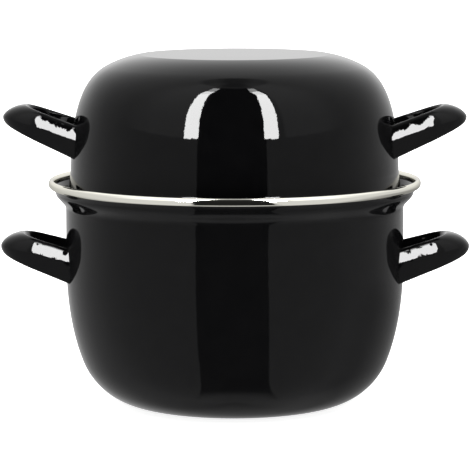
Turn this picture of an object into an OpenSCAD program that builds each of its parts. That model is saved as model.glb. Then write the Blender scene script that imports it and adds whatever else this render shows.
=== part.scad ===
// Mussel pot: an enamelled steel pot with a flared collar and a steel rim,
// and a deep domed lid that rests in the collar and serves as a bowl.
// Millimetres, +Z up, origin at the centre of the flat base.

/* [Pot] */
// Height of the top of the steel rim above the base.
pot_h = 145.4; // [130:0.2:170]
// Outside diameter of the straight wall just under the collar.
pot_d = 217.1; // [200:0.1:260]
// Diameter of the flat base.
base_d = 116.8; // [100:0.2:150]
// Thickness of the enamelled sheet.
sheet = 1.2; // [0.8:0.1:1.6]
// How much of the belly's width the lower corner's round takes.
corner_w = 12.7; // [8:0.1:18]
// Height of the lower corner's round.
corner_h = 28; // [20:0.5:34]
// Height of the belly, from the base to where the wall gets straight.
belly_h = 89.5; // [70:0.5:105]

/* [Collar and rim] */
// Height of the collar, from the neck to the top of the rim.
collar_h = 18.5; // [16:0.5:24]
// Height of the curved step where the collar widens.
step_h = 10.5; // [9:0.5:12]
// How far the curved step goes out from the wall.
step_out = 6.5; // [5:0.1:8]
// How far the lip above the step goes out.
lip_out = 2.1; // [1.5:0.1:3]
// Height of the steel rim.
rim_tall = 5.3; // [4.4:0.1:6]
// Width of the steel rim.
rim_wide = 4.2; // [3.6:0.1:5]
// Thickness of the rim's steel beside the edge that it holds.
rim_steel = 0.5; // [0.4:0.05:0.7]

/* [Lid] */
// Height of the lid's flat top above the steel rim.
lid_rise = 79.8; // [72:0.2:95]
// Gap between the lid's wall and the pot's wall, seen from above.
lid_inset = 3; // [2.4:0.1:5]
// Diameter of the lid's flat top.
top_d = 121.6; // [112:0.2:126]
// Slope of the shoulder where it leaves the flat top, in degrees.
top_slope = 10; // [6:0.5:13]
// Depth from the lid's flat top to the shoulder's lower edge.
shoulder_drop = 7.5; // [6.6:0.1:9]
// How evenly the lid's side bends: higher values keep it upright for longer.
dome_bend = 3.4; // [3:0.05:4.5]
// Free gap between the lid's edge and the collar that it rests on.
seat_gap = 0.3; // [0.2:0.05:0.5]

/* [Handles] */
// Distance between the outer sides of a handle's arms at the wall.
handle_w = 57; // [48:1:66]
// How far a pot handle stands out from the wall.
pot_reach = 42.4; // [38:0.2:50]
// How far a lid handle stands out from the wall.
lid_reach = 44.6; // [40:0.2:52]
// Upward slope of a pot handle's top, in degrees.
pot_tilt = 15.6; // [12:0.2:22]
// Upward slope of a lid handle's top, in degrees.
lid_tilt = 19.2; // [15:0.2:25]
// Height of a pot handle's top at the wall.
pot_handle_z = 103; // [96:0.1:110]
// Height of a lid handle's top at the wall, above the steel rim.
lid_handle_z = 37.2; // [33:0.1:40]
// Height of the arms at the wall.
arm_h = 21.3; // [18:0.1:24]
// Width of an arm, seen from above.
arm_w = 7.6; // [6.5:0.1:9]
// Width of the grip, seen from above.
grip_w = 17.5; // [14:0.1:20]
// Angle by which each arm leans towards the other, in degrees.
arm_lean = 14; // [8:0.5:18]
// Thickness of the pressed handle sheet.
handle_sheet = 1.5; // [1.2:0.1:1.8]
// How far a handle's ends are sunk into the enamel of the wall.
weld = 0.3; // [0.2:0.05:0.5]

/* [Hidden] */
black = [0.05, 0.05, 0.055];
steel = [0.78, 0.78, 0.76];
// The pot's radii and heights.
pot_r = pot_d / 2;
base_r = base_d / 2;
neck_z = pot_h - collar_h;
step_r = pot_r + step_out;
edge_r = step_r + lip_out;
edge_top = pot_h - rim_tall / 3;
rim_r = edge_r - sheet - rim_steel + rim_wide;
rim_c = [rim_r - rim_wide / 2, pot_h - rim_tall / 2];
// The lid's dome: its own top lies a little below the flat top, and starts this far in
// from the flat top's edge.
lid_r = pot_r - lid_inset;
lid_top = pot_h + lid_rise;
dome_dip = 2.15;
dome_h = 100;
dome_in = 20.8;
dome_r = top_d / 2 - dome_in;
dome_root = 4.1;
dome_top = lid_top - dome_dip;
shoulder_z = lid_top - shoulder_drop;
// The lid's edge flares out from a little above the rim, and rests this far up the step.
flare_rise = 1.5;
flare_top = pot_h + flare_rise;
seat_at = 0.62;
// Short lengths over which the slope of the step and of the dome is taken.
step_bit = 0.01;
dome_bit = 0.1;
// Where a handle's section is widest and highest, on the arms and at the grip.
nose_arm = 0.38;
nose_grip = 0.36;
crown_arm = 0.62;
crown_grip = 0.82;
taper_grip = 4.2;
// How round the section's outer side is: at 1 it is an ellipse, and above 1 it is straighter.
round_arm = 1.15;
round_grip = 1.18;
inner_up = 2;
under_tilt = 4.2;
fall_most = 7;
// Where a handle's outline starts to bend, as a share of its reach.
knee_out = 0.5;
knee_in = 0.34;
pull_out = 0.62;
pull_in = 0.5;
swell = 0.55;
ease = 1.2;
belly_steps = 30;
curve_steps = 12;
fall_steps = 3;
round_steps = 8;
arm_steps = 5;
bend_steps = 9;

function unit(v) = v / norm(v);
function left_of(a, b) = let(d = unit(b - a)) [-d[1], d[0]];
// Moves each point of an open line to its left by t, keeping the sides parallel.
function inset(p, t) = [for (i = [0 : len(p) - 1])
    let(a = i > 0 ? left_of(p[i - 1], p[i]) : left_of(p[0], p[1]),
        b = i < len(p) - 1 ? left_of(p[i], p[i + 1]) : a,
        m = unit(a + b))
    p[i] + m * t / (m * a)];
function back(p) = [for (i = [len(p) - 1 : -1 : 0]) p[i]];
function shell(p, t) = concat(p, back(inset(p, t)));
function mix(a, b, t) = a + (b - a) * t;

// A quarter of an ellipse: 0 at s = 0, level at 1 from s = 1 on.
function quarter(s) = sqrt(1 - pow(1 - min(max(s, 0), 1), 2));
// Outside radius of the pot's wall at height z: the corner's round and the belly's.
function pot_wall(z) = base_r + corner_w * quarter(z / corner_h)
    + (pot_r - base_r - corner_w) * quarter(z / belly_h);
// Outside radius of the lid's wall at height z.
function lid_wall(z) = dome_r + (lid_r - dome_r)
    * pow(1 - pow(max(1 - (dome_top - z) / dome_h, 0), dome_bend), 1 / dome_root);
// Outer side of the collar's curved step, for t from 0 to 1.
function step_at(t) = [pot_r + step_out * (1 - cos(180 * t)) / 2, neck_z + step_h * t];

function pot_line() = concat(
    [[0, 0]],
    [for (i = [0 : belly_steps]) let(z = neck_z * pow(i / belly_steps, 2)) [pot_wall(z), z]],
    [for (i = [1 : curve_steps]) step_at(i / curve_steps)],
    [[edge_r, pot_h - rim_tall], [edge_r, edge_top]]);

// Where the lid's edge rests: the inner side of the curved step.
seat = let(a = step_at(seat_at - step_bit), b = step_at(seat_at + step_bit),
           n = left_of(a, b)) step_at(seat_at) + n * (sheet + seat_gap);
flare_end = seat + [0, sheet];
// The shoulder leaves the flat top at its slope and meets the dome's wall smoothly.
function shoulder(t) =
    let(a = [top_d / 2, lid_top],
        c = [lid_wall(shoulder_z), shoulder_z],
        fall = dome_bit / (lid_wall(shoulder_z - dome_bit) - lid_wall(shoulder_z)),
        out = (shoulder_drop - fall * (c[0] - a[0])) / (tan(top_slope) - fall),
        b = a + [out, -out * tan(top_slope)])
    a * pow(1 - t, 2) + b * 2 * t * (1 - t) + c * t * t;

function lid_line() = concat(
    [for (i = [curve_steps : -1 : 1]) let(t = i / curve_steps)
        [mix(lid_r, flare_end[0], 1 - cos(90 * t)), mix(flare_top, flare_end[1], sin(90 * t))]],
    [for (i = [0 : belly_steps]) let(z = mix(shoulder_z, flare_top, pow(1 - i / belly_steps, 2)))
        [lid_wall(z), z]],
    [for (i = [curve_steps - 1 : -1 : 0]) shoulder(i / curve_steps)],
    [[0, lid_top]]);

module pot_body() {
    color(black)
    rotate_extrude()
    polygon(shell(pot_line(), sheet));
}

module pot_rim() {
    in_r = edge_r - sheet;
    from = -acos((edge_r - rim_c[0]) / (rim_wide / 2));
    to = 360 - acos((in_r - rim_c[0]) / (rim_wide / 2));
    turns = 2 * curve_steps;
    color(steel)
    rotate_extrude()
    polygon(concat(
        [for (i = [0 : turns]) let(a = mix(from, to, i / turns))
            rim_c + [rim_wide / 2 * cos(a), rim_tall / 2 * sin(a)]],
        [[in_r, edge_top], [edge_r, edge_top]]));
}

module lid_body() {
    color(black)
    rotate_extrude()
    polygon(shell(lid_line(), sheet));
}

// A point on a smooth line from a to d that leaves a towards b and reaches d from c.
function curve(a, b, c, d, t) = a * pow(1 - t, 3) + b * 3 * t * pow(1 - t, 2)
    + c * 3 * t * t * (1 - t) + d * pow(t, 3);

// Half of a handle's outline seen from above: straight along the arm, then round to the grip.
// side is the half width at the wall, knee where the arm starts to bend, far the grip.
function outline(side, root, knee, far, pull, i) =
    let(lean = tan(arm_lean),
        k = [knee, side - (knee - root) * lean],
        go = (far - knee) * pull)
    i <= arm_steps
        ? mix([root, side], k, i / arm_steps)
        : curve(k, k + [go * cos(arm_lean), -go * sin(arm_lean)],
                [far, k[1] * swell], [far, 0], (i - arm_steps) / bend_steps);

// One cross-section of the pressed sheet: up the outer side, over the top and down the
// inner side. w is its width, crown where the top lies across it, g grows from 0 on
// the arms to 1 at the grip.
function section(w, g, crown, low, nose, top, inner) =
    let(tuck = mix(1, taper_grip, g), power = mix(round_arm, round_grip, g), reach = crown * w,
        rest = w - reach, fall = min(fall_most, (top - inner) / 2))
    concat(
        [for (i = [0 : fall_steps - 1]) let(a = 90 * (1 - i / fall_steps))
            [tuck * (1 - cos(a)), mix(nose, low, sin(a))]],
        [for (i = [0 : round_steps]) let(a = 90 * i / round_steps)
            [reach * (1 - pow(cos(a), power)), mix(nose, top, pow(sin(a), power))]],
        [for (i = [1 : fall_steps + 1]) let(a = 90 * (1 - i / (fall_steps + 1)))
            [w - rest * (1 - cos(a)), mix(top - fall, top, sin(a))]],
        [[w, inner]]);

// All points of one station of a handle: the outer skin, then the inner skin backwards.
function station(j, r0, z0, tilt, reach, on_pot) =
    let(half = arm_steps + bend_steps,
        i = j <= half ? j : 2 * half - j,
        flip = j <= half ? 1 : -1,
        side = handle_w / 2,
        root = sqrt(r0 * r0 - side * side) - r0,
        o = outline(side, root, reach * knee_out, reach, pull_out, i),
        h = outline(side - arm_w, root, reach * knee_in, reach - grip_w, pull_in, i),
        g = i <= arm_steps ? 0 : pow((i - arm_steps) / bend_steps, ease),
        w = norm(h - o),
        across = unit(h - o),
        crown = mix(crown_arm, crown_grip, g),
        u = mix(o[0], h[0], crown),
        top = z0 + u * tan(tilt),
        low = z0 - arm_h + o[0] * tan(tilt + under_tilt),
        nose = mix(low, top, mix(nose_arm, nose_grip, g)),
        inner = z0 - arm_h + inner_up + h[0] * tan(tilt + under_tilt),
        skin = section(w, g, crown, low, nose, top, inner),
        ring = concat(skin, back(inset(skin, -handle_sheet))))
    [for (p = ring) let(q = o + across * p[0], y = q[1] * flip,
        wall = (on_pot ? pot_wall(p[1]) : lid_wall(p[1])) - weld)
        [i == 0 ? sqrt(wall * wall - y * y) : r0 + q[0], y, p[1]]];

module handle(r0, z0, tilt, reach, on_pot) {
    stations = 2 * (arm_steps + bend_steps);
    ring = 2 * (fall_steps + round_steps + 1 + fall_steps + 2);
    skin = ring / 2;
    points = [for (j = [0 : stations]) each station(j, r0, z0, tilt, reach, on_pot)];
    sides = [for (j = [0 : stations - 1]) for (i = [0 : ring - 1])
        let(a = j * ring, b = a + ring, n = (i + 1) % ring)
        each [[a + i, a + n, b + n], [a + i, b + n, b + i]]];
    first = [for (i = [0 : skin - 2]) let(k = ring - 1 - i)
        each [[i, k, k - 1], [i, k - 1, i + 1]]];
    end = stations * ring;
    last = [for (i = [0 : skin - 2]) let(k = ring - 1 - i)
        each [[end + i, end + k - 1, end + k], [end + i, end + i + 1, end + k - 1]]];
    color(black)
    polyhedron(points = points, faces = concat(sides, first, last));
}

module pot_handle_right() {
    handle(pot_wall(pot_handle_z - arm_h / 2), pot_handle_z, pot_tilt, pot_reach, true);
}

module pot_handle_left() {
    rotate([0, 0, 180]) pot_handle_right();
}

module lid_handle_right() {
    z0 = pot_h + lid_handle_z;
    handle(lid_wall(z0 - arm_h / 2), z0, lid_tilt, lid_reach, false);
}

module lid_handle_left() {
    rotate([0, 0, 180]) lid_handle_right();
}

pot_body();
pot_rim();
pot_handle_left();
pot_handle_right();
lid_body();
lid_handle_left();
lid_handle_right();
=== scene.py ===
"""Mussel pot: smooth meshes, materials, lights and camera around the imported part."""

import math

import bpy
import numpy as np
from mathutils import Matrix, Vector


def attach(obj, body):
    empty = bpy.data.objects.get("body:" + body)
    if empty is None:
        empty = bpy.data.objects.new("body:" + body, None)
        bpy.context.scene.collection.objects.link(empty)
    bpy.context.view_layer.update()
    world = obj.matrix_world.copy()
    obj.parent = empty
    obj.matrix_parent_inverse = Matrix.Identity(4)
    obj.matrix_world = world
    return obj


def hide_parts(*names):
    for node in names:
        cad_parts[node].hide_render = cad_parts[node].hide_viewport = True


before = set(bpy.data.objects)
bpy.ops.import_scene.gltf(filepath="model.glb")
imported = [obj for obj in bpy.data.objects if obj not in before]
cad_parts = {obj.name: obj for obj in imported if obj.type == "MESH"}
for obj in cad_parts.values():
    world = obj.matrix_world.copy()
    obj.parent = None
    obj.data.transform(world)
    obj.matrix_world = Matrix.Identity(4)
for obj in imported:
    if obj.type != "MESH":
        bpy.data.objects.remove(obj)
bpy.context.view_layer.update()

# Sizes as in the CAD source, in millimetres and degrees. First the pot.
MM = 0.001
POT_H = 145.4
POT_R = 108.55
BASE_R = 58.4
SHEET = 1.2
CORNER_W = 12.7
CORNER_H = 28.0
BELLY_H = 89.5

# The collar and the rim.
COLLAR_H = 18.5
STEP_H = 10.5
STEP_OUT = 6.5
LIP_OUT = 2.1
RIM_TALL = 5.3
RIM_WIDE = 4.2
RIM_STEEL = 0.5
NECK_Z = POT_H - COLLAR_H
EDGE_R = POT_R + STEP_OUT + LIP_OUT
EDGE_TOP = POT_H - RIM_TALL / 3
RIM_R = EDGE_R - SHEET - RIM_STEEL + RIM_WIDE
FACET = 0.03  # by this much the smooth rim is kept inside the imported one's facets

# The lid. Its edge starts to flare a little higher here than in the CAD source.
LID_RISE = 79.8
LID_INSET = 3.0
TOP_R = 60.8
TOP_SLOPE = 10.0
SHOULDER_DROP = 7.5
DOME_DIP = 2.15
DOME_H = 100
DOME_IN = 20.8
DOME_BEND = 3.4
DOME_ROOT = 4.1
FLARE_RISE = 5.0
SEAT_GAP = 0.3
SEAT_AT = 0.62
LID_R = POT_R - LID_INSET
LID_TOP = POT_H + LID_RISE
DOME_TOP = LID_TOP - DOME_DIP
DOME_R = TOP_R - DOME_IN
FLARE_TOP = POT_H + FLARE_RISE

# Short lengths over which the slope of the step and of the dome is taken.
STEP_BIT = 0.01
DOME_BIT = 0.1

# The handles.
HANDLE_W = 57.0
POT_REACH = 42.4
LID_REACH = 44.6
POT_TILT = 15.6
LID_TILT = 19.2
POT_HANDLE_Z = 103.0
LID_HANDLE_Z = 182.6
ARM_H = 21.3
ARM_W = 7.6
GRIP_W = 17.5
ARM_LEAN = 14.0
HANDLE_SHEET = 1.5
WELD = 0.3
UNDER_TILT = 4.2
INNER_UP = 2
FALL_MOST = 7
KNEE_OUT = 0.5
KNEE_IN = 0.34
PULL_OUT = 0.62
PULL_IN = 0.5
SWELL = 0.55
EASE = 1.2

# Each of these goes from its first value on the arms to its second at the grip: where the section
# is widest and highest, how far its outer side curls in, and how straight it is. The arms' nose
# and crown are a little nearer the top and the hole than in the CAD source.
NOSE = (0.46, 0.36)
CROWN = (0.74, 0.82)
TUCK = (1, 4.2)
POWER = (1.15, 1.18)

# How finely the meshes are divided.
TURNS = 224
POLE = 1e-6  # a ring smaller than this is one point
BASE_RINGS = (0, 30, 50)
WALL_POINTS = 90
STEP_POINTS = 24
SHEET_EDGE_POINTS = 5
RIM_POINTS = 64
TOP_RINGS = (0, 30, TOP_R - 1.5)
SHOULDER_POINTS = 40
LID_WALL_POINTS = 110
FLARE_POINTS = 30
ARM_STEPS = 16
BEND_STEPS = 44
FALL_STEPS = 8
ROUND_STEPS = 22
INNER_STEPS = 4


def tan(degrees):
    return math.tan(math.radians(degrees))


def mix(pair, t):
    return pair[0] + (pair[1] - pair[0]) * t


def quarter(s):
    """A quarter of an ellipse: 0 at s = 0, level at 1 from s = 1 on."""
    return np.sqrt(1 - (1 - np.clip(s, 0, 1)) ** 2)


def pot_wall(z):
    """Outside radius of the pot at height z: the corner's round and the belly's."""
    corner = CORNER_W * quarter(z / CORNER_H)
    return BASE_R + corner + (POT_R - BASE_R - CORNER_W) * quarter(z / BELLY_H)


def lid_wall(z):
    """Outside radius of the lid at height z."""
    s = np.maximum(1 - (DOME_TOP - z) / DOME_H, 0)
    return DOME_R + (LID_R - DOME_R) * np.maximum(1 - s**DOME_BEND, 0) ** (1 / DOME_ROOT)


def step_at(t):
    """A point on the outer side of the collar's curved step, for t from 0 to 1."""
    return np.array([POT_R + STEP_OUT * (1 - math.cos(math.pi * t)) / 2, NECK_Z + STEP_H * t])


def inset(p, t):
    """An open line moved to its left by t."""
    d = np.diff(p, axis=0)
    d /= np.linalg.norm(d, axis=1)[:, None]
    n = np.stack([-d[:, 1], d[:, 0]], 1)
    a, b = np.vstack([n[:1], n]), np.vstack([n, n[-1:]])
    m = a + b
    m /= np.linalg.norm(m, axis=1)[:, None]
    return p + m * (t / (m * a).sum(1))[:, None]


def rounded_end(outer, inner):
    """The half round between the ends of a sheet's two sides."""
    a, b = outer[-1], inner[-1]
    c, r = (a + b) / 2, (a - b) / 2
    out = np.array([-r[1], r[0]])
    if np.dot(out, outer[-1] - outer[-2]) < 0:
        out = -out
    turn = np.linspace(0, math.pi, SHEET_EDGE_POINTS + 2)[1:-1]
    return np.array([c + r * math.cos(x) + out * math.sin(x) for x in turn])


def spin(line, closed):
    """A line of [radius, height] points turned round Z. Points with no radius become poles."""
    verts, rows = [], []
    turn = np.linspace(0, 2 * math.pi, TURNS, endpoint=False)
    c, s = np.cos(turn), np.sin(turn)
    for r, z in line:
        if r < POLE:
            rows.append([len(verts)] * TURNS)
            verts.append((0, 0, z))
        else:
            rows.append(list(range(len(verts), len(verts) + TURNS)))
            verts += list(zip(r * c, r * s, [z] * TURNS))
    faces = []
    pairs = list(zip(rows, rows[1:])) + ([(rows[-1], rows[0])] if closed else [])
    for a, b in pairs:
        for i in range(TURNS):
            j = (i + 1) % TURNS
            corners = dict.fromkeys((a[i], a[j], b[j], b[i]))
            if len(corners) > 2:
                faces.append(list(corners))
    return verts, faces


def sheet_of_revolution(outer, t):
    """Both sides of a pressed sheet, joined by its half-round edge, from pole to pole."""
    inner = inset(outer, t)
    return spin(np.vstack([outer, rounded_end(outer, inner), inner[::-1]]), False)


class Graph:
    """Adds nodes to a material's or the world's tree. Each input is a number or a socket."""

    def __init__(self, tree):
        self.nodes = tree.nodes
        self.links = tree.links

    def new(self, kind, **inputs):
        node = self.nodes.new(kind)
        for name, value in inputs.items():
            self.put(node.inputs[name.replace("_", " ")], value)
        return node

    def put(self, socket, value):
        if isinstance(value, bpy.types.NodeSocket):
            self.links.new(value, socket)
        else:
            socket.default_value = value

    def noise(self, vector, scale, detail, rough=0.5):
        node = self.new(
            "ShaderNodeTexNoise", Vector=vector, Scale=scale, Detail=detail, Roughness=rough
        )
        return node.outputs["Fac"]

    def spread(self, value, source, target):
        """Maps the source range of a value to the target range."""
        node = self.new(
            "ShaderNodeMapRange",
            Value=value,
            From_Min=source[0],
            From_Max=source[1],
            To_Min=target[0],
            To_Max=target[1],
        )
        return node.outputs["Result"]

    def smooth(self, value, low, high):
        """0 up to low, 1 from high on, and a smooth step between them."""
        node = self.new("ShaderNodeMapRange", Value=value, From_Min=low, From_Max=high)
        node.interpolation_type = "SMOOTHSTEP"
        return node.outputs["Result"]

    def bump(self, height, strength, distance, under=None):
        node = self.new("ShaderNodeBump", Strength=strength, Distance=distance, Height=height)
        if under is not None:
            self.put(node.inputs["Normal"], under)
        return node.outputs["Normal"]

    def ramp(self, value, *stops):
        """A colour ramp of two (position, colour) stops."""
        node = self.new("ShaderNodeValToRGB", Fac=value)
        for element, (position, colour) in zip(node.color_ramp.elements, stops):
            element.position = position
            element.color = (*colour, 1)
        return node.outputs["Color"]

    def math(self, kind, *values):
        node = self.nodes.new("ShaderNodeMath")
        node.operation = kind
        for socket, value in zip(node.inputs, values):
            self.put(socket, value)
        return node.outputs[0]

    def both(self, *terms):
        out = terms[0]
        for term in terms[1:]:
            out = self.math("MULTIPLY", out, term)
        return out

    def less(self, value):
        """1 - value."""
        return self.math("SUBTRACT", 1, value)


def material(name):
    m = bpy.data.materials.new(name)
    m.use_nodes = True
    return m, Graph(m.node_tree), m.node_tree.nodes["Principled BSDF"].inputs


# The enamel's index is low, as the photograph's contrast darkens what it mirrors.
ENAMEL_INDEX = 1.235
ENAMEL_ROUGH = (0.012, 0.03)
# Noises as scale, detail and, for two of them, roughness.
DUST = (90, 5, 0.6)
GLOSS = (35, 4, 0.65)
PEEL = (420, 2)
WAVE_DETAIL = 1.5
DUST_GREY = 0.001
BLUISH = 0.0002
BODY = {"wave_scale": 14, "wave_height": 0.00025, "peel_height": 0.000012}
PRESSING = {"wave_scale": 75, "wave_height": 0.0005, "peel_height": 0.00003}


def enamel(name, grey, wave_scale, wave_height, peel_height):
    """Black glass enamel with dust, uneven gloss, slow waves and a fine orange peel."""
    m, g, skin = material(name)
    at = g.new("ShaderNodeTexCoord").outputs["Object"]
    dust = g.noise(at, *DUST)
    dusty = grey + DUST_GREY
    dark, pale = (grey, grey, grey + BLUISH), (dusty, dusty, dusty + BLUISH)
    g.put(skin["Base Color"], g.ramp(dust, (0.35, dark), (0.8, pale)))
    g.put(skin["Roughness"], g.spread(g.noise(at, *GLOSS), (0.3, 0.75), ENAMEL_ROUGH))
    g.put(skin["IOR"], ENAMEL_INDEX)
    wave = g.bump(g.noise(at, wave_scale, WAVE_DETAIL), 1.0, wave_height)
    g.put(skin["Normal"], g.bump(g.noise(at, *PEEL), 1.0, peel_height, wave))
    return m


STEEL_DARK = (0.86, 0.845, 0.765)
STEEL_PALE = (0.92, 0.905, 0.825)
STEEL_TINT = (0.72, 0.71, 0.68, 1)
STEEL_ROUGH = (0.02, 0.05)
RIM_RELIEF = 0.00001
GRAIN_ACROSS = 60
GRAIN_ALONG = 0.8
GRAIN = (60, 4, 0.7)
WEAR = (45, 3)
RIPPLE = (1500, 1)


def rim_steel():
    """Rolled stainless steel: a grain that runs round the rim, patchy wear and a slight ripple."""
    m, g, skin = material("polished_rim")
    at = g.new("ShaderNodeTexCoord").outputs["Object"]
    x, y, z = g.new("ShaderNodeSeparateXYZ", Vector=at).outputs
    radius = g.math("SQRT", g.math("ADD", g.both(x, x), g.both(y, y)))
    turn = g.math("ARCTAN2", y, x)
    ring = g.new(
        "ShaderNodeCombineXYZ",
        X=g.both(radius, GRAIN_ACROSS),
        Y=g.both(turn, GRAIN_ALONG),
        Z=g.both(z, GRAIN_ACROSS),
    )
    grain = g.noise(ring.outputs[0], *GRAIN)
    wear = g.noise(at, *WEAR)
    g.put(skin["Metallic"], 1.0)
    g.put(skin["Base Color"], g.ramp(wear, (0, STEEL_DARK), (1, STEEL_PALE)))
    g.put(skin["Roughness"], g.spread(grain, (0.3, 0.7), STEEL_ROUGH))
    g.put(skin["Specular Tint"], STEEL_TINT)
    ripple = g.bump(g.noise(at, *RIPPLE), 1.0, RIM_RELIEF)
    g.put(skin["Normal"], g.bump(grain, 0.2, RIM_RELIEF, ripple))
    return m


# The pot's enamel is the same as the lid's, but its colour is set lighter here (0.0026 against
# 0.0018): painted light standing in for the floor's bounce light on the pot's body.
ENAMEL_POT_PAINTED_LIGHTER = enamel("black_enamel_pot_painted_lighter", 0.0026, **BODY)
ENAMEL_LID = enamel("black_enamel_lid", 0.0018, **BODY)
ENAMEL_HANDLE = enamel("black_enamel_handles", 0.0018, **PRESSING)
STEEL = rim_steel()


def add(name, node, made, finish, sharp=35):
    """Adds a piece that stands for a CAD node. Edges sharper than sharp degrees stay crisp."""
    verts, faces = made
    mesh = bpy.data.meshes.new(name)
    mesh.from_pydata([tuple(v) for v in np.asarray(verts) * MM], [], faces)
    mesh.update()
    obj = bpy.data.objects.new(name, mesh)
    bpy.context.scene.collection.objects.link(obj)
    mesh.materials.append(finish)
    mesh.shade_smooth()
    mesh.set_sharp_from_angle(angle=math.radians(sharp))
    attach(obj, "root")
    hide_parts(node)


def pot_line():
    z = NECK_Z * np.linspace(0, 1, WALL_POINTS) ** 2
    return np.vstack(
        [
            [[r, 0] for r in BASE_RINGS],
            np.stack([pot_wall(z), z], 1),
            [step_at(i / STEP_POINTS) for i in range(1, STEP_POINTS + 1)],
            [[EDGE_R, POT_H - RIM_TALL], [EDGE_R, EDGE_TOP]],
        ]
    )


def rim_line():
    """The rim's closed section: an oval band, open where it holds the collar's edge."""
    c = np.array([RIM_R - RIM_WIDE / 2, POT_H - RIM_TALL / 2])
    half_w, half_h = RIM_WIDE / 2 - FACET, RIM_TALL / 2
    low = -math.acos((EDGE_R - c[0]) / half_w)
    high = 2 * math.pi - math.acos((EDGE_R - SHEET - c[0]) / half_w)
    turn = np.linspace(low, high, RIM_POINTS)
    band = [c + [half_w * math.cos(a), half_h * math.sin(a)] for a in turn]
    return np.array(band + [[EDGE_R - SHEET, EDGE_TOP], [EDGE_R, EDGE_TOP]])


def lid_line():
    """The lid's outer side, from the middle of its flat top to the edge that rests in the collar."""
    a, b = step_at(SEAT_AT - STEP_BIT), step_at(SEAT_AT + STEP_BIT)
    d = (b - a) / np.linalg.norm(b - a)
    seat = step_at(SEAT_AT) + np.array([-d[1], d[0]]) * (SHEET + SEAT_GAP)
    end = seat + [0, SHEET]

    # The shoulder leaves the flat top at its slope and meets the wall smoothly.
    low_z = LID_TOP - SHOULDER_DROP
    first = np.array([TOP_R, LID_TOP])
    last = np.array([float(lid_wall(low_z)), low_z])
    fall = DOME_BIT / float(lid_wall(low_z - DOME_BIT) - lid_wall(low_z))
    out = (SHOULDER_DROP - fall * (last[0] - first[0])) / (tan(TOP_SLOPE) - fall)
    middle = first + [out, -out * tan(TOP_SLOPE)]
    t = np.linspace(0, 1, SHOULDER_POINTS)[:, None]
    shoulder = first * (1 - t) ** 2 + middle * 2 * t * (1 - t) + last * t**2

    z = low_z + (FLARE_TOP - low_z) * np.linspace(0, 1, LID_WALL_POINTS)[1:] ** 2
    wall = np.stack([lid_wall(z), z], 1)
    turn = np.linspace(0, math.pi / 2, FLARE_POINTS)[1:]
    flare_r = LID_R + (end[0] - LID_R) * (1 - np.cos(turn))
    flare_z = FLARE_TOP + (end[1] - FLARE_TOP) * np.sin(turn)
    flare = np.stack([flare_r, flare_z], 1)
    return np.vstack([[[r, LID_TOP] for r in TOP_RINGS], shoulder, wall, flare])


add("pot_shell", "pot_body", sheet_of_revolution(pot_line(), SHEET), ENAMEL_POT_PAINTED_LIGHTER)
add("pot_rim_band", "pot_rim", spin(rim_line(), True), STEEL, sharp=50)
add("lid_shell", "lid_body", sheet_of_revolution(lid_line(), -SHEET), ENAMEL_LID)


def curve(a, b, c, d, t):
    """A point on a smooth line from a to d that leaves a towards b and reaches d from c."""
    return a * (1 - t) ** 3 + b * 3 * t * (1 - t) ** 2 + c * 3 * t * t * (1 - t) + d * t**3


def outline(side, root, knee, far, pull, i):
    """A point of half a handle's outline from above: along the arm, then round to the grip."""
    lean = math.radians(ARM_LEAN)
    k = np.array([knee, side - (knee - root) * math.tan(lean)])
    if i <= ARM_STEPS:
        return np.array([root, side]) + (k - [root, side]) * (i / ARM_STEPS)
    go = (far - knee) * pull
    leave = k + go * np.array([math.cos(lean), -math.sin(lean)])
    reach = np.array([far, k[1] * SWELL])
    return curve(k, leave, reach, np.array([far, 0]), (i - ARM_STEPS) / BEND_STEPS)


def section(w, g, low, nose, top, inner):
    """Half of the pressed sheet's skin: up its outer side, over the top and down the inner side."""
    tuck, power = mix(TUCK, g), mix(POWER, g)
    reach = mix(CROWN, g) * w
    rest, fall = w - reach, min(FALL_MOST, (top - inner) / 2)
    pts = []
    for i in range(FALL_STEPS):
        a = math.pi / 2 * (1 - i / FALL_STEPS)
        pts.append([tuck * (1 - math.cos(a)), mix((nose, low), math.sin(a))])
    for i in range(ROUND_STEPS + 1):
        a = math.pi / 2 * i / ROUND_STEPS
        out = reach * (1 - max(math.cos(a), 0) ** power)
        pts.append([out, mix((nose, top), math.sin(a) ** power)])
    for i in range(1, FALL_STEPS + 2):
        a = math.pi / 2 * (1 - i / (FALL_STEPS + 1))
        pts.append([w - rest * (1 - math.cos(a)), top - fall + fall * math.sin(a)])
    for i in range(1, INNER_STEPS + 1):
        pts.append([w, mix((top - fall, inner), i / INNER_STEPS)])
    return np.array(pts)


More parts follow.
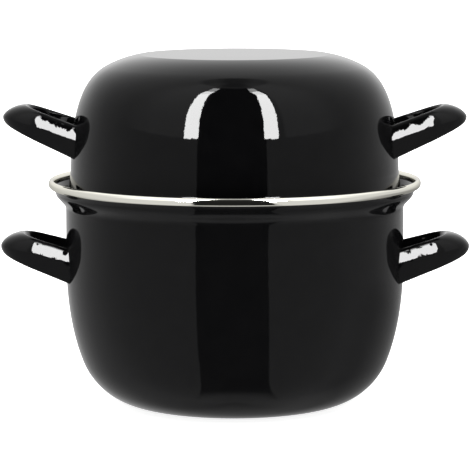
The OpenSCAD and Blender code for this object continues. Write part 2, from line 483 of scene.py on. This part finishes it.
def handle(z0, tilt, reach, wall_of, sign):
    """A handle as a tube of cross-sections from wall to wall, with both ends closed."""
    r0 = float(wall_of(z0 - ARM_H / 2))
    side = HANDLE_W / 2
    root = math.sqrt(r0 * r0 - side * side) - r0
    half = ARM_STEPS + BEND_STEPS
    verts = []
    for j in range(2 * half + 1):
        i, flip = (j, 1) if j <= half else (2 * half - j, -1)
        o = outline(side, root, reach * KNEE_OUT, reach, PULL_OUT, i)
        h = outline(side - ARM_W, root, reach * KNEE_IN, reach - GRIP_W, PULL_IN, i)
        g = 0 if i <= ARM_STEPS else ((i - ARM_STEPS) / BEND_STEPS) ** EASE
        w = np.linalg.norm(h - o)
        across = (h - o) / w
        top = z0 + mix((o[0], h[0]), mix(CROWN, g)) * tan(tilt)
        low = z0 - ARM_H + o[0] * tan(tilt + UNDER_TILT)
        inner = z0 - ARM_H + INNER_UP + h[0] * tan(tilt + UNDER_TILT)
        nose = mix((low, top), mix(NOSE, g))
        skin = section(w, g, low, nose, top, inner)
        ring = np.vstack([skin, inset(skin, -HANDLE_SHEET)[::-1]])
        for q, z in ring:
            p = o + across * q
            y = p[1] * flip
            x = math.sqrt((float(wall_of(z)) - WELD) ** 2 - y * y) if i == 0 else r0 + p[0]
            verts.append((sign * x, sign * y, z))

    ring, rows = len(ring), 2 * half + 1
    faces = []
    for j in range(rows - 1):
        a, b = j * ring, (j + 1) * ring
        for i in range(ring):
            n = (i + 1) % ring
            faces.append([a + i, b + i, b + n, a + n])
    last = (rows - 1) * ring
    for i in range(ring // 2 - 1):
        k = ring - 1 - i
        faces.append([i, i + 1, k - 1, k])
        faces.append([last + i, last + k, last + k - 1, last + i + 1])
    return verts, faces


for name, sign in (("left", -1), ("right", 1)):
    made = handle(POT_HANDLE_Z, POT_TILT, POT_REACH, pot_wall, sign)
    add(f"pot_ear_{name}", f"pot_handle_{name}", made, ENAMEL_HANDLE, sharp=40)
    made = handle(LID_HANDLE_Z, LID_TILT, LID_REACH, lid_wall, sign)
    add(f"lid_ear_{name}", f"lid_handle_{name}", made, ENAMEL_HANDLE, sharp=40)


# The camera stands this many degrees to the right of the object's front, and the lights and the
# world are turned with it.
TURN = 1.2


def toward(azimuth, distance, height):
    """A point seen from the middle of the object at that azimuth, with 0 towards the camera."""
    a = math.radians(azimuth + TURN)
    return Vector((math.sin(a) * distance, -math.cos(a) * distance, height))


FLOOR_R = 6
FLOOR_POINTS = 96
FLOOR_DROP = 0.0004  # keeps the floor just under the base
FLOOR_GLOW = 0.88  # so that the shadow is as faint as in the photograph

floor_white, g, skin = material("floor_white")
g.put(skin["Base Color"], (0.9, 0.9, 0.9, 1))
g.put(skin["Roughness"], 0.9)
g.put(skin["Specular IOR Level"], 0.1)
g.put(skin["Emission Color"], (1, 1, 1, 1))
g.put(skin["Emission Strength"], FLOOR_GLOW)
floor_mesh = bpy.data.meshes.new("floor")
turn = np.linspace(0, 2 * math.pi, FLOOR_POINTS, endpoint=False)
edge = [(FLOOR_R * math.cos(a), FLOOR_R * math.sin(a), 0) for a in turn]
floor_mesh.from_pydata(edge, [], [list(range(FLOOR_POINTS))])
floor = bpy.data.objects.new("floor", floor_mesh)
bpy.context.scene.collection.objects.link(floor)
floor_mesh.materials.append(floor_white)
floor.location.z = -FLOOR_DROP
floor.visible_glossy = False


def area(name, place, size, radiance):
    """A light of size (wide, tall) at place that shines straight down until it is turned."""
    data = bpy.data.lights.new(name, "AREA")
    data.shape = "RECTANGLE"
    data.size, data.size_y = size
    data.energy = radiance * math.pi * size[0] * size[1]
    light = bpy.data.objects.new(name, data)
    bpy.context.scene.collection.objects.link(light)
    light.location = place
    light.visible_camera = False
    return light


# Two tall strip lights stand in front. They lean outward, and their dimmer tips lean back in.
# Each is three rectangles between four points, given by their azimuths and heights.
STRIP_WIDE = 0.176
STRIP_AWAY = 1.0
STRIP_HEIGHTS = (0.376, 1.66, 2.1, 2.95)
STRIP_TURNS = {
    "strip_left": (-29.4, -31.7, -28.9, -27.3),
    "strip_right": (24.8, 27.2, 24.3, 24.5),
}
STRIP_PARTS = (("", 70), ("_upper", 56), ("_tip", 17))
for name, turns in STRIP_TURNS.items():
    knots = [toward(a, STRIP_AWAY, z) for a, z in zip(turns, STRIP_HEIGHTS)]
    for (part, radiance), low, high in zip(STRIP_PARTS, knots, knots[1:]):
        place = (low + high) / 2
        light = area(name + part, place, (STRIP_WIDE, (high - low).length), radiance)
        light.visible_diffuse = False
        tall = (high - low).normalized()
        wide = tall.cross(Vector((place.x, place.y, 0))).normalized()
        light.rotation_euler = Matrix((wide, tall, wide.cross(tall))).transposed().to_euler()

OVERHEAD_Z = 2.4
OVERHEAD_WIDE = 3.2
OVERHEAD_RADIANCE = 1.6
overhead = area("overhead", (0, 0, OVERHEAD_Z), (OVERHEAD_WIDE, OVERHEAD_WIDE), OVERHEAD_RADIANCE)
overhead.visible_glossy = False

world = bpy.data.worlds.new("studio")
bpy.context.scene.world = world
world.use_nodes = True
world.node_tree.nodes.clear()
g = Graph(world.node_tree)
at = g.new("ShaderNodeTexCoord").outputs["Generated"]
turned = g.new("ShaderNodeVectorRotate")
turned.rotation_type = "Z_AXIS"
g.put(turned.inputs["Angle"], math.radians(-TURN))
g.put(turned.inputs["Vector"], at)
x, y, up = g.new("ShaderNodeSeparateXYZ", Vector=turned.outputs[0]).outputs
ahead = g.both(y, -1)
az = g.math("ARCTAN2", g.math("ABSOLUTE", x), ahead)
el = g.math("ARCSINE", up)


def deg(value, low, high):
    """A smooth step of an angle, with its limits in degrees."""
    return g.smooth(value, math.radians(low), math.radians(high))


right = g.smooth(x, -0.4, 0.4)
back = deg(az, 110, 178)

# The room: pale walls, which are brighter above the height of the strips' feet, and a bright
# backdrop. Below the table's height they are darker at the back, and on the right from the side on.
WALLS = 0.9
low_left = g.both(g.less(right), g.less(deg(el, -40, 0)), deg(az, 95, 130), g.less(deg(az, 150, 175)))
low_right = g.both(right, g.less(deg(el, -14, 0)), deg(el, -62, -42), deg(az, 80, 115))
low_back = g.both(g.less(deg(el, -60, -35)), deg(az, 115, 160))
beside_strips = g.both(deg(el, 11.5, 13), deg(az, 35, 38), g.less(deg(az, 58, 92)))
high_walls = g.both(deg(el, 10, 65), g.less(g.both(back, 0.8)))
backdrop = g.both(back, deg(el, -4, 12))
level = WALLS
for part, change in (
    (low_left, -0.2),
    (low_right, -0.46),
    (low_back, -0.25),
    (beside_strips, 0.55),
    (high_walls, 0.7),
    (backdrop, 0.68),
):
    level = g.math("ADD", level, g.both(part, change))

# The ceiling right above is darker, most of all over the middle.
CEILING_LOSS = 0.72
SIDES_BACK = 0.3
sides = g.smooth(g.math("ABSOLUTE", x), 0.03, 0.15)
loss = g.math("SUBTRACT", CEILING_LOSS, g.both(sides, SIDES_BACK))
level = g.both(level, g.less(g.both(deg(el, 74, 78), loss)))

# A dark flag with the camera stands in front, between the strips, and reaches down to the table.
# It gets wider towards the table.
FLAG_LOSS = 0.98
FLAG_LEFT = (-0.502, -0.478)
FLAG_RIGHT = (0.400, 0.425)
FLAG_SPREAD = 0.49
FLAG_SHIFT = 0.065
down = g.math("MINIMUM", up, 0)
deep = g.both(down, down)
side = g.math("DIVIDE", x, g.math("SQRT", g.math("ADD", g.both(y, y), g.both(deep, FLAG_SPREAD))))
side = g.math("SUBTRACT", side, g.both(deep, FLAG_SHIFT))
flag = g.both(
    g.smooth(side, *FLAG_LEFT),
    g.less(g.smooth(side, *FLAG_RIGHT)),
    g.smooth(ahead, 0, 0.02),
    deg(el, -78, -62),
    g.less(deg(el, 70, 79)),
)
level = g.both(level, g.less(g.both(flag, FLAG_LOSS)))

# The camera itself sees a white room.
seen = g.new("ShaderNodeLightPath").outputs["Is Camera Ray"]
level = g.math("ADD", g.both(level, g.less(seen)), seen)
background = g.new("ShaderNodeBackground", Strength=level)
g.put(g.new("ShaderNodeOutputWorld").inputs["Surface"], background.outputs[0])

# The camera, at the photograph's viewing angle. The photo is 470 pixels wide.
CAM_DISTANCE = 1.9
CAM_RISE = math.radians(6.0)
CAM_ROLL = math.radians(-0.12)
PIXELS_PER_METRE = 1555
PHOTO_WIDE = 470
SENSOR = 36
AIM_RIGHT = 0.00014
AIM_HEIGHT = 0.1085
cam_data = bpy.data.cameras.new("camera")
cam_data.sensor_width = SENSOR
cam_data.lens = PIXELS_PER_METRE * CAM_DISTANCE / PHOTO_WIDE * SENSOR
cam_data.clip_start = 0.1
cam_data.clip_end = 60
cam = bpy.data.objects.new("camera", cam_data)
bpy.context.scene.collection.objects.link(cam)
cam_height = MM * POT_H + CAM_DISTANCE * math.sin(CAM_RISE)
cam.location = toward(0, CAM_DISTANCE * math.cos(CAM_RISE), cam_height)
aim = toward(90, AIM_RIGHT, AIM_HEIGHT)
cam.rotation_euler = (aim - cam.location).to_track_quat("-Z", "Y").to_euler()
cam.rotation_euler.rotate_axis("Z", CAM_ROLL)
bpy.context.scene.camera = cam
bpy.context.scene.view_settings.view_transform = "Standard"
